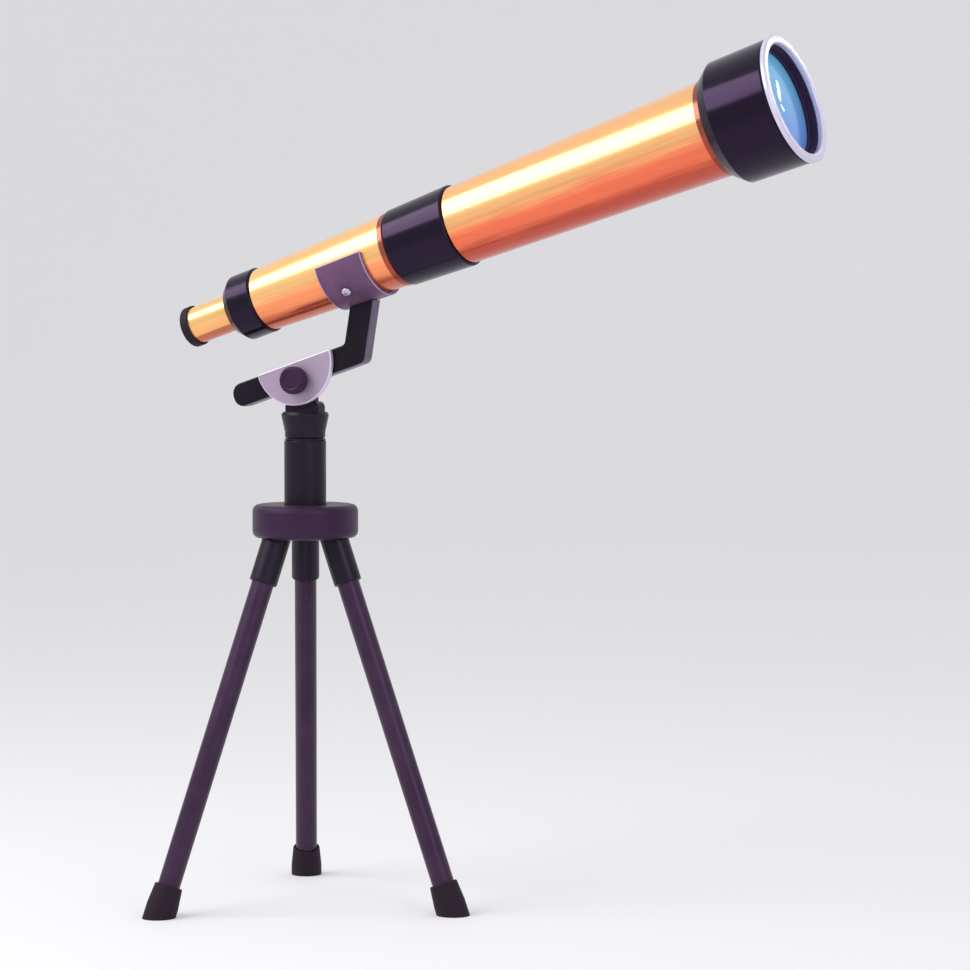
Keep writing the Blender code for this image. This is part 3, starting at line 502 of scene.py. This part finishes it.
# Painted highlight: a lighter lilac for the arm's edges and for its sides that face the light.
black_painted_highlight = powder_coat("black_metal_painted_highlight", (0.10, 0.075, 0.12), 0.34, LILAC_TINT)
black_matte = moulded("black_matte", (0.026, 0.017, 0.048), 0.60, 0.5, VIOLET_TINT)
aubergine = moulded(
    "aubergine_plastic", (0.024, 0.011, 0.026), 0.40, 0.5, VIOLET_TINT, Specular_IOR_Level=0.4)
aubergine_coat = powder_coat("aubergine_metal", (0.034, 0.018, 0.034), 0.34, VIOLET_TINT, level=0.4)
lilac = brushed("lilac_metal", (0.37, 0.29, 0.40), 0.42, (0.02, 1.0, 1.0), metallic=0.3)
# Painted highlight: a lighter lilac for the cheek's rim.
lilac_painted_highlight = brushed("lilac_metal_painted_highlight", (0.68, 0.61, 0.76), 0.32, LENGTHWAYS, metallic=0.4)
plum = powder_coat("plum_metal", (0.120, 0.060, 0.115), 0.38, VIOLET_TINT, metallic=0.1)
# Painted highlight: a lighter plum for the saddle's rounded edges.
plum_painted_highlight = powder_coat("plum_metal_painted_highlight", (0.42, 0.32, 0.50), 0.32, LILAC_TINT, metallic=0.2)
silver = brushed("silver_ring", (0.66, 0.63, 0.79), 0.22, ROUND, metallic=0.3)
# The lens glass carries painted shade: lighter above, darker below.
glass = glass_with_painted_shade("lens_glass", (0.20, 0.60, 0.92), (0.18, 0.36, 0.86), 22 * MM)
steel = brushed("bright_steel", (0.60, 0.52, 0.64), 0.28, ROUND, metallic=0.7)
rubber = moulded("black_rubber", (0.014, 0.008, 0.010), 0.66, 1.0, LILAC_TINT, Specular_IOR_Level=0.3)
brass = brushed("brass", (0.70, 0.50, 0.20), 0.30, ROUND)
nylon = moulded("white_nylon", (0.60, 0.58, 0.60), 0.50, 0.5)


# ---------------------------------------------------------------- the telescope

def build_tubes():
    """The two tapered gold tubes with a rolled bead at their front ends, and the black collars."""
    bead_length = 3.4 * MM
    for node, look, ahead in (("rear_tube", gold_rear, "middle_collar"),
                              ("front_tube", gold, "objective_hood")):
        tube = refine(node, AXIS, look, 0.5 * MM)
        end = station(ahead)[0]
        # The last 3.4 mm of each tube, next to the part ahead, is painted a darker red-brown band.
        paint_where(tube, gold_bead, lambda face, end=end: end - bead_length < face.center.z < end)
    refine("draw_tube", AXIS, gold_draw, 0.4 * MM, SMALL_STEPS)
    refine("rear_collar", AXIS, black_gloss, 0.8 * MM)
    refine("middle_collar", AXIS, black_gloss, 0.8 * MM)
    refine("draw_tube_bush", AXIS, nylon, 0.3 * MM, SMALL_STEPS)
    for node in ("baffle_rear", "baffle_front"):
        refine(node, AXIS, black_matte, 0.3 * MM, SMALL_STEPS)


def grooved(points, radius, clear_of, pitch, depth):
    """A closed outline with grooves in its longest straight run at one radius, ahead of one station."""
    runs = []
    for place, (start, end) in enumerate(zip(points, points[1:] + points[:1])):
        if max(abs(start[1] - radius), abs(end[1] - radius)) < TOUCH:
            runs.append((abs(end[0] - start[0]), place, start[0], end[0]))
    _, place, start, end = max(runs)
    low, high = max(min(start, end), clear_of), max(start, end)
    count = int((high - low) / pitch)
    ridges = [(low + (high - low) * (k + share) / count, radius + cut) for k in range(count)
              for share, cut in ((0.15, 0.0), (0.35, depth), (0.65, depth), (0.85, 0.0))]
    return points[:place + 1] + (ridges if start < end else ridges[::-1]) + points[place + 1:]


def domed(points, rings):
    """The outline of a lens with both of its faces smoothly curved."""
    radius = max(r for _, r in points)
    edge = [along for along, r in points if radius - r < TOUCH]
    rear_edge, front_edge = min(edge), max(edge)
    rear, front = min(points)[0], max(points)[0]
    shares = [k / rings for k in range(rings + 1)]
    back = [(rear_edge + (rear - rear_edge) * (1 - s ** 2), radius * s) for s in shares]
    face = [(front_edge + (front - front_edge) * (1 - s ** 2), radius * s) for s in reversed(shares)]
    return back + face


def build_objective():
    """The black hood, the grooved wall inside it, the bright ring and the blue lens."""
    refine("objective_hood", AXIS, black_gloss, 0.9 * MM)
    refine("objective_ring", AXIS, silver, 0.8 * MM)
    points, _ = cad_outline("objective_lens", AXIS)
    lens = turned("fine_objective_lens", domed(points, 32), False, AXIS, FINE_STEPS)
    finish_piece(lens, "objective_lens", glass)
    refine("lens_retainer", AXIS, black_matte, 0.3 * MM)
    points, closed = cad_outline("objective_cell", AXIS)
    front = max(along for along, _ in points)
    bore = min(radius for along, radius in points if front - along < TOUCH)
    drawn = grooved(points, bore, station("lens_retainer")[1], 0.55 * MM, 0.22 * MM)
    cell = turned("fine_objective_cell", drawn, closed, AXIS, FINE_STEPS)
    finish_piece(cell, "objective_cell", black_matte)


def build_eyepiece():
    """The rubber cup, two lenses, and what holds them in the draw tube."""
    refine("eyecup", AXIS, rubber, 0.9 * MM, SMALL_STEPS)
    for node in ("eye_lens", "field_lens"):
        refine(node, AXIS, glass, 0.1 * MM, SMALL_STEPS)
    for node in ("eye_lens_spacer", "eyepiece_retainer"):
        refine(node, AXIS, black_matte, 0.2 * MM, SMALL_STEPS)


def cross_recess(name, home, top, size, depth):
    """The cutters of a cross-head screw's recess."""
    half, width = size / 2, size / 6
    return [block(f"{name}_bar_{k}", (-x, -y, top - depth), (x, y, top + depth), home)
            for k, (x, y) in enumerate(((half, width), (width, half)))]


def saddle_outline():
    """The section of the saddle, read two facets beside its underside, clear of its screw hole."""
    return cad_outline("saddle", AXIS, math.pi - 2 * math.tau / CAD_FACETS)


def build_saddle():
    """The plum plate that wraps the underside of the rear tube, and its cross-head screws and nuts."""
    points, closed = saddle_outline()
    radius = max(r for _, r in points)
    lip = reach("saddle", RISE)[1] - RISE.dot(on_axis("saddle"))
    spread = math.pi / 2 + math.asin(lip / radius)
    saddle = turned("fine_saddle", points, closed, AXIS, FINE_STEPS // 2, math.pi - spread, 2 * spread)
    # Painted highlight: the saddle's rounded edges take the lighter plum.
    finish_piece(soften(saddle, 0.45 * MM, edge_slot=1), "saddle", plum, plum_painted_highlight)

    points, closed = cad_outline("saddle_screw_far", screw_home("saddle_screw_far"))
    top = max(along for along, _ in points)
    for side in ("near", "far"):
        node = f"saddle_screw_{side}"
        home = screw_home(node)
        screw = turned("fine_" + node, eased(points, closed, 0.5 * MM), closed, home, SMALL_STEPS)
        combine(screw, cross_recess(node, home, top, 2.6 * MM, 0.7 * MM))
        finish_piece(screw, node, steel)
        keep_cad(f"saddle_nut_{side}", steel)
    refine("arm_screw", make_home(on_axis("arm_screw"), ALONG, -RISE), steel, 0.3 * MM, SMALL_STEPS)


def build_arm():
    """The bent bar: powder-coated, slotted for the neck's tongue; its rounded edges and its faces towards the
    objective and underneath are painted lighter lilac as a painted highlight.
    """
    low, high = reach("cradle_arm", -NEAR)
    bottom = reach("cradle_arm", RISE)[0] - RISE.dot(PIVOT)
    rear = reach("cradle_arm", ALONG)[0] - ALONG.dot(PIVOT)
    bar_top, elbow, upright_top = 9.7 * MM, 38.5 * MM, 32.0 * MM
    lean, width = 0.52, 15.0 * MM    # of the upright
    top_front = elbow + (upright_top - bottom) * lean
    top_rear = top_front - width
    inner = top_rear - (upright_top - bar_top) * lean
    corners = [(rear, bottom), (elbow, bottom), (top_front, upright_top), (top_rear, upright_top),
               (inner, bar_top), (rear, bar_top)]
    outline = eased(corners, True, [5.5 * MM, 4.0 * MM, 0.0, 0.0, 3.0 * MM, 5.5 * MM])
    arm = plate("fine_cradle_arm", outline, high - low, CRADLE)
    soften(arm, 0.9 * MM, edge_slot=1)
    freeze(arm)

    half_length, half_width, slot_top = 12.5 * MM, 2.1 * MM, 7.4 * MM
    slot = block("slot", (-half_length, -half_width, bottom - MM), (half_length, half_width, slot_top), CRADLE)
    points, _ = saddle_outline()
    start, end = min(points)[0], max(points)[0]
    rear_r, front_r = (max(r for u, r in points if abs(u - along) < TOUCH) + FIT for along in (start, end))
    slope, overrun = (front_r - rear_r) / (end - start), 20 * MM
    start, rear_r = start - overrun, rear_r - overrun * slope
    bed = turned("bed", [(start, 0.0), (start, rear_r), (end, front_r), (end, 0.0)], False, AXIS, FINE_STEPS)
    combine(arm, [slot, bed])
    finish_piece(arm, "cradle_arm", black_arm, black_painted_highlight)
    # Painted highlight: faces towards the objective and faces looking down take the lighter lilac as well.
    paint_where(arm, black_painted_highlight, lambda face: face.normal.x > 0.3 or face.normal.z < -0.5)


def build_cheek():
    """The half-disc: a brushed lilac face, with its rim painted a lighter lilac as a painted highlight."""
    low, high = reach("cheek", -NEAR)
    left, right = reach("cheek", ALONG)
    radius = (right - left) / 2
    top = reach("cheek", RISE)[1] - RISE.dot(PIVOT)
    first, last, count = math.radians(-8.0), math.radians(-172.0), 72
    angles = [first + (last - first) * k / count for k in range(count + 1)]
    arc = [(radius * math.cos(a), top + radius * math.sin(a)) for a in angles]
    corners = [(-radius, top), (radius, top), *arc]
    outline = eased(corners, True, [1.6 * MM] * 2 + [0.0] * len(arc))
    cheek = plate("fine_cheek", outline, high - low, CRADLE, offset=(low + high) / 2)
    soften(cheek, 0.75 * MM, edge_slot=1)
    finish_piece(cheek, "cheek", lilac, lilac_painted_highlight)
    # Painted highlight: the rim and its rounded edges take the lighter lilac.
    paint_where(cheek, lilac_painted_highlight, lambda face: abs(face.normal.y) < 0.98)


def build_clamp():
    """The fluted knob, the hexagon bolt and the washers on the tilt pivot."""
    points, closed = cad_outline("tilt_knob", CLAMP)
    radius = max(r for _, r in points)
    end, _ = points.pop()
    dish_r, dish = 0.62 * radius, 0.35 * MM
    points += [(end, dish_r + dish), (end - dish, dish_r), (end - dish, 0.0)]
    flutes, depth = 24, 0.30 * MM
    knob = turned("fine_tilt_knob", eased(points, closed, 0.7 * MM), closed, CLAMP, 12 * flutes)
    for vertex in knob.data.vertices:
        out = vertex.co.xy.length
        if out > radius - 0.5 * MM:
            turn = math.atan2(vertex.co.y, vertex.co.x)
            vertex.co.xy *= 1 - depth * (0.5 - 0.5 * math.cos(flutes * turn)) ** 2 / out
    finish_piece(knob, "tilt_knob", aubergine)
    refine("knob_insert", CLAMP, brass, 0.2 * MM, SMALL_STEPS)
    for side in ("near", "far"):
        refine(f"tilt_washer_{side}", CLAMP, steel, 0.2 * MM, SMALL_STEPS)
    keep_cad("tilt_bolt", steel)


def build_pan_head():
    """The flared neck with its block and tongue."""
    beside_block = math.radians(54.0)
    points, closed = cad_outline("pan_head", STAND, beside_block)
    neck = turned("fine_pan_head", eased(points, closed, 0.8 * MM), closed, STAND, SMALL_STEPS)
    neck_top = max(along for along, _ in points)
    sunk = neck_top - 2.0 * MM
    half, thick, block_top = 10.0 * MM, 7.4 * MM, neck_top + 5.5 * MM
    corners = [(-half, sunk), (half, sunk), (half, block_top), (-half, block_top)]
    base = plate("block", eased(corners, True, [0.0, 0.0, 3.0 * MM, 3.0 * MM]), thick, STAND)
    freeze(soften(base, 0.6 * MM))
    tongue_r, tongue_t = 7.0 * MM, 3.6 * MM
    arc = [math.pi * k / 32 for k in range(33)]
    tongue = [(-tongue_r, sunk), (tongue_r, sunk)]
    tongue += [(tongue_r * math.cos(a), PIVOT.z + tongue_r * math.sin(a)) for a in arc]
    combine(neck, [base, plate("tongue", tongue, tongue_t, STAND)], "UNION")
    finish_piece(neck, "pan_head", black_coat)


def build_stand():
    """The column, the rounded hub with its three slots, and what holds them together."""
    refine("column", STAND, black_coat, 0.4 * MM, SMALL_STEPS)
    refine("column_plug", STAND, black_coat, 0.3 * MM, SMALL_STEPS)
    refine("swivel_washer", STAND, black_coat, 0.2 * MM, SMALL_STEPS)
    for node in ("pan_bolt", "column_bolt", "column_nut"):
        keep_cad(node, steel)

    between_slots = math.radians(50.0)
    points, closed = cad_outline("hub", STAND, between_slots)
    hub = turned("fine_hub", eased(points, closed, 1.0 * MM), closed, STAND, FINE_STEPS)
    hub_r = max(r for _, r in points)
    hub_bottom = min(along for along, _ in points)
    cutters = []
    for number in (1, 2, 3):
        hinge = Vector(JOINTS[f"leg_{number}_fold"]["pos_m"])
        outward = hinge - STAND.translation
        upright = make_home(hinge, (outward.x, outward.y, 0.0), UP)
        sleeve_r = max(r for _, r in cad_outline(f"leg_sleeve_{number}", leg_home(number))[0])
        half, ahead = sleeve_r + FIT, hub_r - math.hypot(outward.x, outward.y) - 2.4 * MM
        low = (-half - FIT, -half, hub_bottom - hinge.z - MM)
        slot = block(f"slot_{number}", low, (ahead, half, sleeve_r + 2 * FIT), upright)
        cutters.append(freeze(soften(slot, 0.5 * MM)))
        pin_home = make_home(hinge, (outward.x, outward.y, 0.0), Vector(JOINTS[f"leg_{number}_fold"]["axis"]))
        refine(f"leg_pin_{number}", pin_home, black_coat, 0.3 * MM, SMALL_STEPS)
    combine(hub, cutters)
    finish_piece(hub, "hub", aubergine)


def build_leg(number):
    """A leg: its black sleeve, aubergine tube and rubber foot, which is cut level with the floor."""
    home = leg_home(number)
    refine(f"leg_sleeve_{number}", home, black_coat, 0.5 * MM, SMALL_STEPS)
    refine(f"leg_tube_{number}", home, aubergine_coat, 0.2 * MM, SMALL_STEPS)

    node = f"foot_{number}"
    points, closed = cad_outline(node, home)
    bottom = min(along for along, _ in points)
    below, sole = bottom - 6.0 * MM, bottom + 4.0 * MM
    points = [(below if along < sole else along, radius) for along, radius in points]
    foot = turned("fine_" + node, eased(points, closed, 0.8 * MM), closed, home, SMALL_STEPS)
    side = 0.5
    table = block("table", (-side, -side, -side), (side, side, 0.0), Matrix.Identity(4))
    combine(foot, [table])
    foot.data.transform(home)        # its mesh stands upright, so that its box rests on the floor
    foot.matrix_world = Matrix.Identity(4)
    finish_piece(foot, node, rubber)


build_tubes()
build_objective()
build_eyepiece()
build_saddle()
build_arm()
build_cheek()
build_clamp()
build_pan_head()
build_stand()
for number in (1, 2, 3):
    build_leg(number)


# ---------------------------------------------------------------- stage

def build_stage():
    """A pale floor that curves up into a round wall, so that no horizon shows."""
    floor_r, wall_r, wall_top = 2.6, 4.2, 1.9
    bend = wall_r - floor_r
    arc = [math.pi / 2 * k / 24 for k in range(25)]
    outline = [(0.0, 0.0)] + [(bend * (1 - math.cos(a)), floor_r + bend * math.sin(a)) for a in arc]
    outline.append((wall_top, wall_r))
    stage = turned("studio", outline, False, Matrix.Identity(4), 128)
    stage.data.shade_smooth()
    material, tree, shader = start_look(
        "pale_paper", Roughness=0.75, Emission_Color=(1.0, 0.99, 1.0, 1.0), Emission_Strength=0.22)
    cloud = noise(tree, local_point(tree), 0.8, 3.0)
    drive(tree, shader, Base_Color=mix_colours(tree, cloud, (0.60, 0.60, 0.61), (0.63, 0.63, 0.64)))
    stage.data.materials.append(material)


def softbox(name, middle, aim, width, height, brightness, colour=(1.0, 1.0, 1.0)):
    """A rectangular lamp of even brightness whose face looks at a point. The camera doesn't see it."""
    lamp = bpy.data.lights.new(name, "AREA")
    lamp.shape = "RECTANGLE"
    lamp.size, lamp.size_y = width, height
    lamp.energy = brightness * math.pi * width * height
    lamp.color = colour
    obj = bpy.data.objects.new(name, lamp)
    obj.location = middle
    obj.rotation_euler = (Vector(aim) - Vector(middle)).to_track_quat("-Z", "Y").to_euler()
    obj.visible_camera = False
    bpy.context.scene.collection.objects.link(obj)
    return obj


def strip(name, start, end, aim, width, brightness):
    """A narrow lamp from one point to another, whose face looks at a third."""
    middle = (start + end) / 2
    lamp = softbox(name, middle, aim, width, (end - start).length, brightness)
    z = (middle - aim).normalized()
    x = (end - start).cross(z).normalized()
    lamp.matrix_world = Matrix.Translation(middle) @ Matrix((x, z.cross(x), z)).transposed().to_4x4()


def mirrored_by_lens(eye, middle, near, rise):
    """Where the line of sight goes after it meets the lens, so much nearer and higher than its middle."""
    sphere = 0.167                   # radius of the lens's front
    normal = (ALONG + NEAR * near / sphere + RISE * rise / sphere).normalized()
    sight = (eye - middle - NEAR * near - RISE * rise).normalized()
    return 2 * normal.dot(sight) * normal - sight


def build_camera():
    """The picture's viewpoint: level with the tube, a little towards the objective."""
    middle = (cad_low + cad_high) / 2
    level = Vector((math.sin(CAMERA_AZIMUTH), -math.cos(CAMERA_AZIMUTH), 0.0))
    back = level * math.cos(CAMERA_ELEVATION) + UP * math.sin(CAMERA_ELEVATION)
    camera = bpy.data.cameras.new("camera")
    obj = bpy.data.objects.new("camera", camera)
    obj.location = middle + back * CAMERA_DISTANCE
    obj.rotation_euler = (-back).to_track_quat("-Z", "Y").to_euler()
    view_height = (cad_high.z - cad_low.z) / FRAME_FILL
    camera.lens = camera.sensor_width * CAMERA_DISTANCE / view_height
    bpy.context.scene.collection.objects.link(obj)
    bpy.context.scene.camera = obj
    return obj.location.copy()


def build_lights(eye):
    """Soft studio light. The key lamp mirrors in the upper third of the tube as one long streak."""
    world = bpy.data.worlds.new("studio_light")
    world.use_nodes = True
    background = world.node_tree.nodes["Background"]
    background.inputs["Color"].default_value = (0.97, 0.97, 1.0, 1.0)
    background.inputs["Strength"].default_value = 0.80
    bpy.context.scene.world = world

    tube_middle = AXIS.translation + ALONG * 0.20
    to_camera = (eye - tube_middle).normalized()
    across = ALONG.dot(to_camera)
    square = (to_camera - ALONG * across).normalized()
    upward = square.cross(ALONG)
    tilt_up = math.radians(60.5)     # of the key lamp, round the tube from the line of sight
    mirrored = (square * math.cos(tilt_up) + upward * math.sin(tilt_up)) * math.sqrt(1 - across ** 2)
    mirrored -= ALONG * across
    softbox("key", tube_middle + mirrored * 0.95, tube_middle, 0.85, 0.53, 4.9, (1.0, 0.97, 0.98))

    mouth = AXIS.translation + ALONG * 0.35
    softbox("fill", mouth + Vector((0.75, -0.60, 0.25)) * 0.95, mouth, 0.5, 0.6, 2.6, (0.95, 0.93, 1.0))
    for name, near, rise, near_end, rise_end, width, brightness in (
            ("streak", 3.0 * MM, 13.0 * MM, 7.0 * MM, 1.5 * MM, 0.016, 15.0),
            ("dot", 5.8 * MM, -3.0 * MM, 6.2 * MM, -4.8 * MM, 0.022, 15.0)):
        first = mirrored_by_lens(eye, mouth, near, rise)
        last = mirrored_by_lens(eye, mouth, near_end, rise_end)
        strip(name, mouth + first * 0.8, mouth + last * 0.8, mouth, width, brightness)


bpy.context.scene.view_settings.view_transform = "Standard"
build_stage()
build_lights(build_camera())
